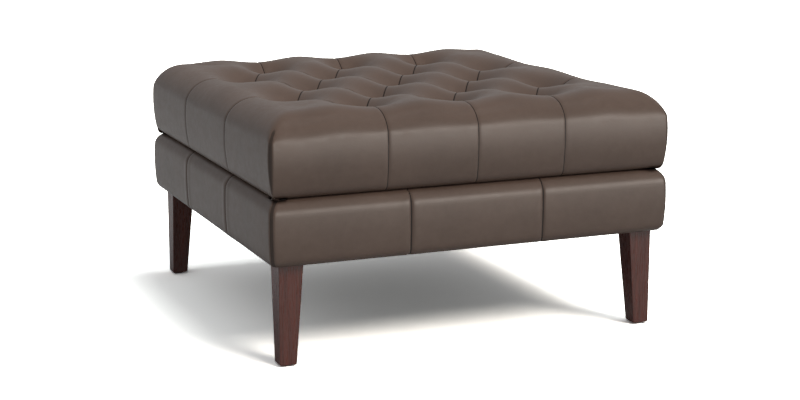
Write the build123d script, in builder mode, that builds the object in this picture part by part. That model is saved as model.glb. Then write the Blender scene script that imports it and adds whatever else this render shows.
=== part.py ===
from build123d import *
import math
import os

# Ottoman coffee table: a square tufted leather cushion fixed on a padded box base with four tapered legs.
# Millimetres, Z up. The origin is on the floor under the middle, X runs along the front and -Y is the front.

os.makedirs("parts", exist_ok=True)

# Overall sizes, over the widest line of the leather
overall_width = 762.0
overall_height = 447.0
leg_height = 179.0
base_height = 117.0

# Clearances, and how far a cutter passes the face that it opens
fit_clearance = 0.2
layer_clearance = 0.3
cut_overrun = 1.0

# Legs and foot glides: the two outer faces of a leg are upright, the two inner ones taper
leg_setback = 19.6
leg_top_width = 44.5
leg_foot_width = 30.5
leg_arris_radius = 1.2
leg_foot_chamfer = 1.5
glide_diameter = 20.0
glide_thickness = 2.5
glide_edge_radius = 0.8
glide_nail_diameter = 2.5
glide_nail_length = 16.0

# Hanger bolts and the threaded inserts that they screw into
bolt_diameter = 8.0
bolt_length_in_leg = 35.0
bolt_length_in_insert = 13.0
bolt_end_chamfer = 1.0
insert_diameter = 12.0
insert_length = 14.0

# Leather of the base and its padded sides
leather_thickness = 2.0
base_side_crown = 3.0
base_corner_radius = 12.0
base_top_radius = 18.0
base_bottom_radius = 8.0
base_top_flange_lap = 16.0
base_bottom_flange_lap = 31.0
base_seam_place = 127.0
seam_width = 2.5
seam_depth = 1.2
bolt_hole_diameter = 9.0

# Hardwood box inside the base
side_padding = 25.0
post_width = 60.0
post_edge_radius = 5.0
rail_thickness = 20.0
stretcher_place = 127.0
stretcher_thickness = 20.0
stretcher_height = 60.0
dowel_diameter = 8.0
dowel_length = 40.0
dowel_end_chamfer = 1.0
dowel_edge_distance = 28.0
stretcher_dowel_pitch = 28.0
stretcher_dowel_in_rail = 15.0

# Dust cover and its staples
dust_cover_thickness = 1.0
dust_cover_lap = 20.0
dust_cover_leg_clearance = 1.0
staple_crown_length = 10.0
staple_wire = 1.0
staple_depth_in_rail = 6.0
staples_per_side = 6
staple_spacing = 92.0
staple_setback = 16.0

# Cushion board, with the brackets that hold it to the rails
board_thickness = 12.0
board_setback = 26.0
board_corner_radius = 14.0
cushion_flange_lap = 15.0
bracket_width = 40.0
bracket_leg = 34.0
bracket_thickness = 2.0
screw_diameter = 4.0
screw_length = 11.0
screw_head_diameter = 8.0
screw_head_height = 2.0
screw_pitch = 22.0
screw_edge_distance = 12.0

# Foam core and wadding
wadding_thickness = 10.0
wadding_edge_radius = 14.0
foam_edge_radius = 6.0
cover_over_wadding = 4.0
foam_bore_diameter = 12.0

# Tufts in five rows of three and four, joined by folds that run from tuft to tuft
tuft_column_pitch = 84.5
tuft_row_pitch = 128.3
tuft_depth = 36.0
tuft_width = 12.0
fold_depth = 18.0
pillow_fullness = 2.6
strip_fullness = 3.5
strip_tuft_share = 0.6
strip_fall = 3.4
twine_diameter = 2.4
twine_bore_diameter = 3.0
twine_knot_diameter = 7.0
twine_knot_height = 5.0
twine_cover_depth = 1.5
board_hole_diameter = 6.0
washer_diameter = 22.0
washer_thickness = 1.5

# Outside of the cushion cover: rounded top edges, crowned sides, and an underside drawn in over the gap
top_edge_run = 55.0
top_edge_rise = 52.0
top_edge_fall = 4.0
edge_channel_depth = 12.0
side_channel_depth = 3.0
corner_edge_share = 0.6
cushion_side_crown = 2.5
cushion_corner_radius = 16.0
cushion_bottom_radius = 14.0
side_seam_inset = 2.0
side_seam_half_width = 5.0
least_bulge = 0.6
least_side_wall = 2.0

# Levels and half widths that the pieces share
half_width = overall_width / 2
base_top = leg_height + base_height
frame_half = half_width - side_padding
frame_bottom = leg_height + leather_thickness
frame_top = base_top - leather_thickness
frame_height = frame_top - frame_bottom
rail_length = 2 * (frame_half - post_width)
rail_middle = frame_half - rail_thickness / 2
rail_inner = frame_half - rail_thickness
leg_outer = half_width - leg_setback
bolt_place = leg_outer - leg_top_width / 2
board_bottom = base_top + leather_thickness
board_top = board_bottom + board_thickness
board_half = half_width - board_setback
bottom_opening_half = frame_half - base_bottom_flange_lap
wadding_top = overall_height - tuft_depth - cover_over_wadding
tuft_bottom = overall_height - tuft_depth

standing = (Align.CENTER, Align.CENTER, Align.MIN)
hanging = (Align.CENTER, Align.CENTER, Align.MAX)
corners = {
    "front_left": (-1, -1),
    "front_right": (1, -1),
    "back_left": (-1, 1),
    "back_right": (1, 1),
}
# Each side of the square with the turn that brings the right-hand side to it
sides = {"right": 0, "back": 90, "left": 180, "front": 270}
bolt_places = [(side_x * bolt_place, side_y * bolt_place) for side_x, side_y in corners.values()]
tuft_places = [
    (column * tuft_column_pitch, row * tuft_row_pitch)
    for row in range(-2, 3)
    for column in range(-3, 4)
    if (row + column) % 2 == 0
]


# Legs and glides
for corner, (side_x, side_y) in corners.items():
    with BuildPart() as leg:
        glide_place = leg_outer - leg_foot_width / 2
        with BuildSketch(Plane.XY.offset(glide_thickness)):
            with Locations((side_x * glide_place, side_y * glide_place)):
                sole_width = leg_foot_width - 2 * leg_foot_chamfer
                RectangleRounded(sole_width, sole_width, leg_arris_radius)
        with BuildSketch(Plane.XY.offset(glide_thickness + leg_foot_chamfer)):
            with Locations((side_x * glide_place, side_y * glide_place)):
                RectangleRounded(leg_foot_width, leg_foot_width, leg_arris_radius)
        with BuildSketch(Plane.XY.offset(leg_height)):
            with Locations((side_x * bolt_place, side_y * bolt_place)):
                RectangleRounded(leg_top_width, leg_top_width, leg_arris_radius)
        loft(ruled=True)
        with Locations((side_x * bolt_place, side_y * bolt_place, leg_height)):
            Hole(radius=(bolt_diameter + fit_clearance) / 2, depth=bolt_length_in_leg + fit_clearance)
        with Locations((side_x * glide_place, side_y * glide_place, glide_thickness)):
            Cylinder(
                radius=(glide_nail_diameter + fit_clearance) / 2,
                height=glide_nail_length + fit_clearance,
                align=standing,
                mode=Mode.SUBTRACT,
            )
    leg.part.label = f"leg_{corner}"
    export_step(leg.part, f"parts/leg_{corner}.step")

    with BuildPart() as glide:
        with Locations((side_x * glide_place, side_y * glide_place)):
            Cylinder(radius=glide_diameter / 2, height=glide_thickness, align=standing)
            fillet(glide.edges().sort_by(Axis.Z)[0], radius=glide_edge_radius)
        with Locations((side_x * glide_place, side_y * glide_place, glide_thickness)):
            Cylinder(radius=glide_nail_diameter / 2, height=glide_nail_length, align=standing)
    glide.part.label = f"glide_{corner}"
    export_step(glide.part, f"parts/glide_{corner}.step")


# Hanger bolts: a wood thread in the leg and a machine thread in the insert of the corner post
with BuildPart() as hanger_bolts:
    with Locations(*[(x, y, leg_height - bolt_length_in_leg) for x, y in bolt_places]):
        Cylinder(
            radius=bolt_diameter / 2,
            height=bolt_length_in_leg + leather_thickness + bolt_length_in_insert,
            align=standing,
        )
    chamfer(hanger_bolts.edges().filter_by(GeomType.CIRCLE), length=bolt_end_chamfer)
hanger_bolts.part.label = "hanger_bolts"
export_step(hanger_bolts.part, "parts/hanger_bolts.step")

with BuildPart() as threaded_inserts:
    with Locations(*[(x, y, frame_bottom) for x, y in bolt_places]):
        Cylinder(radius=insert_diameter / 2, height=insert_length, align=standing)
        Cylinder(
            radius=(bolt_diameter + fit_clearance) / 2,
            height=insert_length,
            align=standing,
            mode=Mode.SUBTRACT,
        )
threaded_inserts.part.label = "threaded_inserts"
export_step(threaded_inserts.part, "parts/threaded_inserts.step")


# Dowels that join the rails to the posts, and the stretchers to the front and back rails
dowel_heights = (frame_bottom + dowel_edge_distance, frame_top - dowel_edge_distance)
stretcher_dowel_heights = (
    board_bottom - stretcher_height / 2 - stretcher_dowel_pitch / 2,
    board_bottom - stretcher_height / 2 + stretcher_dowel_pitch / 2,
)
stretcher_dowel_middle = rail_inner + stretcher_dowel_in_rail - dowel_length / 2
along_x = (0, 90, 0)
along_y = (90, 0, 0)
dowel_places = []
for near, far in ((-1, -1), (-1, 1), (1, -1), (1, 1)):
    for height in dowel_heights:
        dowel_places.append(Location((near * rail_length / 2, far * rail_middle, height), along_x))
        dowel_places.append(Location((near * rail_middle, far * rail_length / 2, height), along_y))
    for height in stretcher_dowel_heights:
        dowel_places.append(Location((near * stretcher_place, far * stretcher_dowel_middle, height), along_y))


def cut_dowel_holes():
    with Locations(*dowel_places):
        Cylinder(
            radius=(dowel_diameter + fit_clearance) / 2,
            height=dowel_length + 2 * fit_clearance,
            mode=Mode.SUBTRACT,
        )


with BuildPart() as frame_dowels:
    with Locations(*dowel_places):
        Cylinder(radius=dowel_diameter / 2, height=dowel_length)
    chamfer(frame_dowels.edges().filter_by(GeomType.CIRCLE), length=dowel_end_chamfer)
frame_dowels.part.label = "frame_dowels"
export_step(frame_dowels.part, "parts/frame_dowels.step")


# Staples go through the dust cover and the leather into the rails
def staple_legs(clearance, mode):
    leg_length = dust_cover_thickness + leather_thickness + staple_depth_in_rail + clearance
    with Locations((0, 0, leg_height - dust_cover_thickness)):
        with PolarLocations(frame_half - staple_setback, 4):
            with GridLocations(staple_spacing, staple_spacing, 1, staples_per_side):
                leg_pitch = staple_crown_length - staple_wire
                with GridLocations(leg_pitch, leg_pitch, 1, 2):
                    Box(
                        staple_wire + clearance,
                        staple_wire + clearance,
                        leg_length,
                        align=standing,
                        mode=mode,
                    )


# Screws of the brackets: into the rails and up into the cushion board, as (radius, height, turn)
bracket_screw_places = []
for turn in sides.values():
    for offset in (-screw_pitch / 2, screw_pitch / 2):
        rail_screw_height = board_bottom - bracket_leg + screw_edge_distance
        rail_place = Location((0, 0, 0), (0, 0, turn)) * Location(
            (rail_inner - bracket_thickness, offset, rail_screw_height), along_x
        )
        board_place = Location((0, 0, 0), (0, 0, turn)) * Location(
            (rail_inner - bracket_leg + screw_edge_distance, offset, board_bottom - bracket_thickness)
        )
        bracket_screw_places += [rail_place, board_place]


def cut_screw_holes():
    with Locations(*bracket_screw_places):
        Cylinder(
            radius=(screw_diameter + fit_clearance) / 2,
            height=screw_length + fit_clearance,
            align=standing,
            mode=Mode.SUBTRACT,
        )


# Corner posts and rails
for corner, (side_x, side_y) in corners.items():
    with BuildPart() as corner_post:
        post_middle = frame_half - post_width / 2
        with Locations((side_x * post_middle, side_y * post_middle, frame_bottom)):
            Box(post_width, post_width, frame_height, align=standing)
        outer_edge = corner_post.edges().filter_by(Axis.Z).sort_by_distance((0, 0))[-1]
        fillet(outer_edge, radius=post_edge_radius)
        with Locations((side_x * bolt_place, side_y * bolt_place, frame_bottom)):
            Cylinder(
                radius=(insert_diameter + fit_clearance) / 2,
                height=insert_length + fit_clearance,
                align=standing,
                mode=Mode.SUBTRACT,
            )
        cut_dowel_holes()
    corner_post.part.label = f"corner_post_{corner}"
    export_step(corner_post.part, f"parts/corner_post_{corner}.step")

for side, turn in sides.items():
    with BuildPart() as rail:
        with Locations(Location((0, 0, frame_bottom), (0, 0, turn))):
            with Locations((rail_middle, 0)):
                Box(rail_thickness, rail_length, frame_height, align=standing)
        cut_dowel_holes()
        cut_screw_holes()
        staple_legs(fit_clearance, Mode.SUBTRACT)
    rail.part.label = f"rail_{side}"
    export_step(rail.part, f"parts/rail_{side}.step")

for side, side_x in (("left", -1), ("right", 1)):
    with BuildPart() as stretcher:
        with Locations((side_x * stretcher_place, 0, board_bottom)):
            Box(stretcher_thickness, 2 * rail_inner, stretcher_height, align=hanging)
        cut_dowel_holes()
    stretcher.part.label = f"stretcher_{side}"
    export_step(stretcher.part, f"parts/stretcher_{side}.step")


# Outer form of the base: a crowned side between a rounded bottom edge and a rounded top edge
quarter_steps = 4
crown_shares = (0.25, 0.5, 0.75)


def base_levels(inset):
    bottom = leg_height + inset
    top = base_top - inset
    low_radius = base_bottom_radius - inset
    high_radius = base_top_radius - inset
    edge_half = half_width - inset - base_side_crown
    levels = []
    for step in range(quarter_steps + 1):
        angle = math.radians(90 * step / quarter_steps)
        height = bottom + low_radius * (1 - math.cos(angle))
        levels.append((height, edge_half - low_radius * (1 - math.sin(angle))))
    for share in crown_shares:
        height = bottom + low_radius + share * (top - high_radius - bottom - low_radius)
        levels.append((height, edge_half + 4 * share * (1 - share) * base_side_crown))
    for step in range(quarter_steps + 1):
        angle = math.radians(90 * step / quarter_steps)
        height = top - high_radius * (1 - math.sin(angle))
        levels.append((height, edge_half - high_radius * (1 - math.cos(angle))))
    return levels


def base_sections(inset):
    sections = []
    for height, half in base_levels(inset):
        with BuildSketch(Plane.XY.offset(height)) as level:
            RectangleRounded(2 * half, 2 * half, base_corner_radius - inset)
        sections.append(level.sketch)
    return sections


def side_wedge(turn):
    """The quarter of the plan that belongs to one side, cut along the diagonals."""
    reach = half_width + cut_overrun
    outward = Vector(reach, 0).rotate(Axis.Z, turn)
    across = Vector(0, reach).rotate(Axis.Z, turn)
    with BuildSketch() as wedge:
        with BuildLine():
            Polyline((0, 0), outward - across, outward + across, close=True)
        make_face()
    return wedge.sketch


with BuildPart() as base_inside:
    loft(base_sections(leather_thickness), ruled=True)

with BuildPart() as base_seam_floor:
    loft(base_sections(seam_depth), ruled=True)

# Narrow slots that follow the form of the base where its panels are sewn together
with BuildPart() as base_seam_slots:
    slot_length = side_padding + base_top_flange_lap + cut_overrun
    with Locations((0, 0, leg_height - cut_overrun)):
        with PolarLocations(half_width + cut_overrun - slot_length / 2, len(sides)):
            with GridLocations(2 * base_seam_place, 2 * base_seam_place, 1, 2):
                Box(slot_length, seam_width, base_height + 2 * cut_overrun, align=standing)
    add(base_seam_floor.part, mode=Mode.SUBTRACT)

with BuildPart() as base_leather:
    loft(base_sections(0), ruled=True)
    add(base_inside.part, mode=Mode.SUBTRACT)
    opening_depth = leather_thickness + 2 * cut_overrun
    with Locations((0, 0, base_top + cut_overrun)):
        top_opening = 2 * (frame_half - base_top_flange_lap)
        Box(top_opening, top_opening, opening_depth, align=hanging, mode=Mode.SUBTRACT)
    with Locations((0, 0, leg_height - cut_overrun)):
        bottom_opening = 2 * bottom_opening_half
        Box(bottom_opening, bottom_opening, opening_depth, align=standing, mode=Mode.SUBTRACT)
    with Locations(*[(x, y, frame_bottom) for x, y in bolt_places]):
        Cylinder(
            radius=bolt_hole_diameter / 2,
            height=leather_thickness + cut_overrun,
            align=hanging,
            mode=Mode.SUBTRACT,
        )
    add(base_seam_slots.part, mode=Mode.SUBTRACT)
    staple_legs(fit_clearance, Mode.SUBTRACT)


# The leather of the base is sewn together at the upright corners, one piece to a side
for side, turn in sides.items():
    with BuildPart() as base_cover:
        add(base_leather.part)
        extrude(side_wedge(turn), amount=overall_height, mode=Mode.INTERSECT)
    base_cover.part.label = f"base_cover_{side}"
    export_step(base_cover.part, f"parts/base_cover_{side}.step")


# Foam pads between the rails and the leather
with BuildPart() as base_padding:
    loft(base_sections(leather_thickness + layer_clearance), ruled=True)
    with Locations((0, 0, leg_height)):
        Box(2 * frame_half, 2 * frame_half, base_height, align=standing, mode=Mode.SUBTRACT)

for side, turn in sides.items():
    with BuildPart() as base_pad:
        add(base_padding.part)
        extrude(side_wedge(turn), amount=overall_height, mode=Mode.INTERSECT)
    base_pad.part.label = f"base_pad_{side}"
    export_step(base_pad.part, f"parts/base_pad_{side}.step")


# Dust cover under the base, cut out round the legs, with its staples
with BuildPart() as dust_cover:
    with Locations((0, 0, leg_height)):
        dust_cover_width = 2 * (bottom_opening_half + dust_cover_lap)
        Box(dust_cover_width, dust_cover_width, dust_cover_thickness, align=hanging)
        notch_width = dust_cover_width / 2 - (leg_outer - leg_top_width - dust_cover_leg_clearance)
        notch_middle = dust_cover_width / 2 - notch_width / 2
        notches = [(side_x * notch_middle, side_y * notch_middle) for side_x, side_y in corners.values()]
        with Locations(*notches):
            Box(notch_width, notch_width, 2 * dust_cover_thickness, mode=Mode.SUBTRACT)
    staple_legs(fit_clearance, Mode.SUBTRACT)
dust_cover.part.label = "dust_cover"
export_step(dust_cover.part, "parts/dust_cover.step")

with BuildPart() as dust_cover_staples:
    with Locations((0, 0, leg_height - dust_cover_thickness)):
        with PolarLocations(frame_half - staple_setback, len(sides)):
            with GridLocations(staple_spacing, staple_spacing, 1, staples_per_side):
                Box(staple_wire, staple_crown_length, staple_wire, align=hanging)
    staple_legs(0, Mode.ADD)
dust_cover_staples.part.label = "dust_cover_staples"
export_step(dust_cover_staples.part, "parts/dust_cover_staples.step")


# Cushion board of plywood, with a hole for the twine of every tuft
with BuildPart() as cushion_board:
    with BuildSketch(Plane.XY.offset(board_bottom)):
        RectangleRounded(2 * board_half, 2 * board_half, board_corner_radius)
        with Locations(*tuft_places):
            Circle(board_hole_diameter / 2, mode=Mode.SUBTRACT)
    extrude(amount=board_thickness)
    cut_screw_holes()
cushion_board.part.label = "cushion_board"
export_step(cushion_board.part, "parts/cushion_board.step")


# Steel angle brackets hold the board to the rails
with BuildPart() as angle_brackets:
    for turn in sides.values():
        with Locations(Location((0, 0, 0), (0, 0, turn))):
            with Locations((rail_inner - bracket_leg / 2, 0, board_bottom)):
                Box(bracket_leg, bracket_width, bracket_thickness, align=hanging)
            with Locations((rail_inner - bracket_thickness / 2, 0, board_bottom)):
                Box(bracket_thickness, bracket_width, bracket_leg, align=hanging)
    cut_screw_holes()
angle_brackets.part.label = "angle_brackets"
export_step(angle_brackets.part, "parts/angle_brackets.step")

with BuildPart() as bracket_screws:
    with Locations(*bracket_screw_places):
        Cylinder(radius=screw_diameter / 2, height=screw_length, align=standing)
        Cylinder(radius=screw_head_diameter / 2, height=screw_head_height, align=hanging)
bracket_screws.part.label = "bracket_screws"
export_step(bracket_screws.part, "parts/bracket_screws.step")


# Foam core and the wadding over it, both bored under the tufts
foam_half = board_half - wadding_thickness
foam_height = wadding_top - wadding_thickness - board_top


def bore_tufts(diameter):
    with Locations(*[(x, y, board_top) for x, y in tuft_places]):
        Cylinder(
            radius=diameter / 2,
            height=wadding_top - board_top + cut_overrun,
            align=standing,
            mode=Mode.SUBTRACT,
        )


with BuildPart() as cushion_foam:
    with Locations((0, 0, board_top)):
        foam_width = 2 * (foam_half - layer_clearance)
        Box(foam_width, foam_width, foam_height - layer_clearance, align=standing)
    fillet(cushion_foam.edges().filter_by(Axis.Z), radius=foam_edge_radius)
    bore_tufts(foam_bore_diameter)
cushion_foam.part.label = "cushion_foam"
export_step(cushion_foam.part, "parts/cushion_foam.step")

with BuildPart() as cushion_wadding:
    with Locations((0, 0, board_top)):
        Box(2 * board_half, 2 * board_half, wadding_top - board_top, align=standing)
        fillet(cushion_wadding.edges().filter_by(Axis.Z), radius=wadding_edge_radius)
        Box(2 * foam_half, 2 * foam_half, foam_height, align=standing, mode=Mode.SUBTRACT)
    bore_tufts(twine_bore_diameter)
cushion_wadding.part.label = "cushion_wadding"
export_step(cushion_wadding.part, "parts/cushion_wadding.step")


# Tufting twine, tied under the board over a washer
washer_bottom = board_bottom - washer_thickness
twine_top = tuft_bottom - twine_cover_depth

with BuildPart() as tufting_twine:
    with Locations(*[(x, y, washer_bottom) for x, y in tuft_places]):
        Cylinder(radius=twine_diameter / 2, height=twine_top - washer_bottom, align=standing)
        Cylinder(radius=twine_knot_diameter / 2, height=twine_knot_height, align=hanging)
tufting_twine.part.label = "tufting_twine"
export_step(tufting_twine.part, "parts/tufting_twine.step")

with BuildPart() as tuft_washers:
    with BuildSketch(Plane.XY.offset(washer_bottom)):
        with Locations(*tuft_places):
            Circle(washer_diameter / 2)
            Circle(twine_bore_diameter / 2, mode=Mode.SUBTRACT)
    extrude(amount=washer_thickness)
tuft_washers.part.label = "tuft_washers"
export_step(tuft_washers.part, "parts/tuft_washers.step")


# Outside of the cushion cover, as upright sections along X, with four folds zigzag between the rows of tufts.
# The rounding of the top edge is limited by the wall that carries it, which is lowest at the corners.
side_wall_height = overall_height - base_top - 2 * cushion_bottom_radius
edge_rise = min(top_edge_rise, (side_wall_height - least_side_wall) / (2 - corner_edge_share))


def quarter_drop(distance, run, drop):
    share = min(max(distance / run, 0), 1)
    return drop * (1 - math.sqrt(1 - share**2))


def tuft_phase(x):
    """0 at a column of the first, third and fifth row, 1 at a column of the second and fourth row."""
    columns = min(abs(x) / tuft_column_pitch, 3)
    return 1 - abs(columns % 2 - 1)


def fold_level(x):
    """Depth of a fold under the crest: deepest at the tufts, and shallow again towards the side faces."""
    last_tuft = 3 * tuft_column_pitch
    crest = half_width - top_edge_run
    phase = tuft_phase(x)
    if abs(x) <= last_tuft:
        return tuft_depth - (tuft_depth - fold_depth) * 4 * phase * (1 - phase)
    if abs(x) <= crest:
        share = (abs(x) - last_tuft) / (crest - last_tuft)
        return tuft_depth + (top_edge_fall + edge_channel_depth - tuft_depth) * share
    share = (abs(x) - crest) / top_edge_run
    edge_fold = top_edge_fall + edge_channel_depth
    return edge_fold + (side_channel_depth - edge_fold) * share


def seam_inset(x):
    """The front and back are pulled in along the seams that run down from the first and fifth row."""
    from_seam = tuft_phase(x) * tuft_column_pitch
    return side_seam_inset * max(0, 1 - from_seam / side_seam_half_width)


def arc_through(start, level, end):
    """An arc between two points of a section whose middle reaches the given height."""
    middle_height = max(level, (start[1] + end[1]) / 2 + least_bulge)
    ThreePointArc(start, ((start[0] + end[0]) / 2, middle_height), end)


def quarter_arc(side_point, flat_point):
    """A rounded edge from a point on the side face to a point on the top or the underside."""
    turn_share = math.sqrt(0.5)
    middle = (
        flat_point[0] + (side_point[0] - flat_point[0]) * turn_share,
        side_point[1] + (flat_point[1] - side_point[1]) * turn_share,
    )
    return middle


def cushion_section(x):
    phase = tuft_phase(x)
    side_drop = quarter_drop(abs(x) - (half_width - top_edge_run), top_edge_run, edge_rise)
    corner_drop = quarter_drop(
        abs(x) - (half_width - cushion_corner_radius), cushion_corner_radius, cushion_corner_radius
    )
    bottom_drop = quarter_drop(
        abs(x) - (half_width - cushion_bottom_radius), cushion_bottom_radius, cushion_bottom_radius
    )
    edge_share = 1 - corner_edge_share * side_drop / edge_rise
    top = overall_height - side_drop
    bottom = base_top + bottom_drop
    reach = half_width - corner_drop - seam_inset(x)
    wall = reach - cushion_side_crown
    crest_place = reach - top_edge_run * edge_share
    channel = edge_channel_depth * (1 - phase) ** pillow_fullness
    crest = top - top_edge_fall - channel
    wall_top = top - edge_rise * edge_share
    wall_bottom = bottom + cushion_bottom_radius
    foot = wall - cushion_bottom_radius

    outer_fold = (2 - phase) * tuft_row_pitch + phase * tuft_width / 2
    inner_fold = phase * tuft_row_pitch + (1 - 2 * phase) * tuft_width / 2
    fold = top - fold_level(x)
    strip_crest = top - strip_fall - strip_tuft_share * tuft_depth * (1 - phase) ** strip_fullness
    even_pillow = top - tuft_depth * phase**pillow_fullness
    middle_pillow = top - tuft_depth * (1 - phase) ** pillow_fullness

    right_points = [(foot, bottom), (wall, wall_bottom), (wall, wall_top), (crest_place, crest)]
    left_points = [(-y, z) for y, z in right_points]
    with BuildSketch(Plane.YZ.offset(x)) as section:
        with BuildLine():
            Line(left_points[0], right_points[0])
            ThreePointArc(right_points[0], quarter_arc(right_points[1], right_points[0]), right_points[1])
            ThreePointArc(right_points[1], (reach, (wall_bottom + wall_top) / 2), right_points[2])
            ThreePointArc(right_points[2], quarter_arc(right_points[2], right_points[3]), right_points[3])
            arc_through(right_points[3], strip_crest, (outer_fold, fold))
            arc_through((outer_fold, fold), even_pillow, (inner_fold, fold))
            arc_through((inner_fold, fold), middle_pillow, (-inner_fold, fold))
            arc_through((-inner_fold, fold), even_pillow, (-outer_fold, fold))
            arc_through((-outer_fold, fold), strip_crest, left_points[3])
            ThreePointArc(left_points[3], quarter_arc(left_points[2], left_points[3]), left_points[2])
            ThreePointArc(left_points[2], (-reach, (wall_bottom + wall_top) / 2), left_points[1])
            ThreePointArc(left_points[1], quarter_arc(left_points[1], left_points[0]), left_points[0])
        make_face()
    return section.sketch


# Places of the sections: finer beside the seams, at quarter steps of a pillow, and round the side edges
pillow_shares = (0.25, 0.5, 0.75)
edge_turns = (25, 45, 60, 76, 90)
section_places = [0]
for column in range(3):
    start = column * tuft_column_pitch
    steps = [share * tuft_column_pitch for share in pillow_shares]
    section_places += [start + side_seam_half_width]
    section_places += [start + step for step in steps]
    section_places += [start + tuft_column_pitch - side_seam_half_width, start + tuft_column_pitch]
crest_x = half_width - top_edge_run
section_places += [(3 * tuft_column_pitch + crest_x) / 2, crest_x]
section_places += [crest_x + top_edge_run * math.sin(math.radians(turn)) for turn in edge_turns]

with BuildPart() as cushion_cover:
    mirrored_places = sorted([-place for place in section_places if place > 0] + section_places)
    loft([cushion_section(x) for x in mirrored_places], ruled=True)
    with Locations((0, 0, board_bottom)):
        cavity_width = 2 * (board_half + layer_clearance)
        cavity_height = wadding_top + layer_clearance - board_bottom
        Box(cavity_width, cavity_width, cavity_height, align=standing, mode=Mode.SUBTRACT)
    with Locations((0, 0, base_top - cut_overrun)):
        opening_width = 2 * (board_half - cushion_flange_lap)
        opening_height = leather_thickness + 2 * cut_overrun
        Box(opening_width, opening_width, opening_height, align=standing, mode=Mode.SUBTRACT)
    with Locations(*[(x, y, wadding_top) for x, y in tuft_places]):
        Cylinder(
            radius=twine_bore_diameter / 2,
            height=twine_top + fit_clearance - wadding_top,
            align=standing,
            mode=Mode.SUBTRACT,
        )
    with Locations((half_width, 0, base_top), (-half_width, 0, base_top)):
        with GridLocations(2 * tuft_row_pitch, 2 * tuft_row_pitch, 1, 2):
            slot_height = cushion_bottom_radius + overall_height - edge_rise - base_top
            Box(2 * seam_depth, seam_width, slot_height, align=standing, mode=Mode.SUBTRACT)
cushion_cover.part.label = "cushion_cover"
export_step(cushion_cover.part, "parts/cushion_cover.step")
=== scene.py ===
import math

import bmesh
import bpy
import numpy as np
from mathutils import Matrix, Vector


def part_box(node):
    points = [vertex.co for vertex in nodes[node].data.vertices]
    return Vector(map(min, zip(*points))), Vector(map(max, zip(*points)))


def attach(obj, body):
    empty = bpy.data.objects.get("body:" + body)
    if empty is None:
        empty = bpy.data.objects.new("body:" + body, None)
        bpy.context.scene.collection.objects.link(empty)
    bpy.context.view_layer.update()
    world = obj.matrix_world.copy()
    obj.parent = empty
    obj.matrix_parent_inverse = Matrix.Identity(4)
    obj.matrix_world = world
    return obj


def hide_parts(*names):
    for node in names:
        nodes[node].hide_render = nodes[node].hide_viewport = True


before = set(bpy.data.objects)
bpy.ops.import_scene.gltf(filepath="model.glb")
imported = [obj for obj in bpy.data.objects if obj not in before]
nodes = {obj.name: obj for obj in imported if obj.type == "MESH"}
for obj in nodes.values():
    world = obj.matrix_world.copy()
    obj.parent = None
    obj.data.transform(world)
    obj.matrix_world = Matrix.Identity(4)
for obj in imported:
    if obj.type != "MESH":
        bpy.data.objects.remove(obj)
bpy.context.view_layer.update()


# Camera and room
# The photograph's view: from the front left and a little above, through a long lens, in a plain pale room. It
# is lit by a soft light overhead and a key light from the front right, halfway up, with a weak fill at the
# left. A low wide light at the front right only shows as gloss along the leather.
camera_lens = 76.24
camera_sensor_width = 36.0
camera_azimuth = math.radians(-22.593)
camera_pitch = math.radians(11.956)
camera_place = (-1.2376, -2.9994, 0.8806)
floor_radius = 16.0
floor_sides = 96
floor_white = (0.72, 0.72, 0.72)
floor_grey = (0.3, 0.3, 0.3)
floor_roughness = 0.9
floor_gloss_share = 1.0
# How much paler the floor is to the camera alone, so that it is as white as the room behind it
floor_gain = (2.9, 2.79, 2.62)
horizon_white = (0.66, 0.68, 0.70)
ceiling_grey = (0.56, 0.59, 0.62)
ceiling_fade = (0.14, 0.5)
room_white = (1.0, 1.0, 1.0)
room_strength = 0.42
room_gloss_share = 0.22
over_direction = (0.30, -0.10, 1.0)
over_angle = math.radians(30)
over_strength = 1.1
over_colour = (0.92, 0.98, 1.0)
key_direction = (0.33, -0.64, 0.70)
key_angle = math.radians(24)
key_strength = 1.3
key_colour = (1.0, 0.97, 0.93)
fill_direction = (-0.86, -0.30, 0.80)
fill_angle = math.radians(50)
fill_strength = 0.07
fill_colour = (0.93, 0.96, 1.0)
low_direction = (0.40, -0.86, 0.22)
low_distance = 3.4
low_aim = (0.0, 0.0, 0.3)
low_size = (3.2, 1.2)
low_power = 86.0
low_colour = (1.0, 0.93, 0.86)

camera_data = bpy.data.cameras.new("camera")
camera_data.lens = camera_lens
camera_data.sensor_width = camera_sensor_width
camera = bpy.data.objects.new("camera", camera_data)
bpy.context.scene.collection.objects.link(camera)
camera_back = Vector((
    math.sin(camera_azimuth) * math.cos(camera_pitch),
    -math.cos(camera_azimuth) * math.cos(camera_pitch),
    math.sin(camera_pitch),
))
camera.location = camera_place
camera.rotation_mode = "QUATERNION"
camera.rotation_quaternion = (-camera_back).to_track_quat("-Z", "Y")
bpy.context.scene.camera = camera
bpy.context.scene.view_settings.view_transform = "Standard"


def add_node(tree, kind, settings=None, **inputs):
    """Adds a node. Settings are its properties, and inputs are values or sockets by the input's name."""
    made = tree.nodes.new(kind)
    for name, value in (settings or {}).items():
        setattr(made, name, value)
    for name, value in inputs.items():
        socket = made.inputs[int(name[1:]) if name[0] == "_" else name.replace("_", " ")]
        if isinstance(value, bpy.types.NodeSocket):
            tree.links.new(value, socket)
        else:
            socket.default_value = value
    return made


def calculate(tree, operation, *values, clamp=False):
    """The result of a sum or another operation on values or sockets."""
    inputs = {f"_{number}": value for number, value in enumerate(values)}
    settings = {"operation": operation, "use_clamp": clamp}
    return add_node(tree, "ShaderNodeMath", settings, **inputs).outputs[0]


def ranged(tree, value, source, target=(0.0, 1.0), **settings):
    """A value brought from one range to another, and held at its ends."""
    made = add_node(
        tree, "ShaderNodeMapRange", settings,
        Value=value, From_Min=source[0], From_Max=source[1], To_Min=target[0], To_Max=target[1],
    )
    return made.outputs[0]


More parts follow.
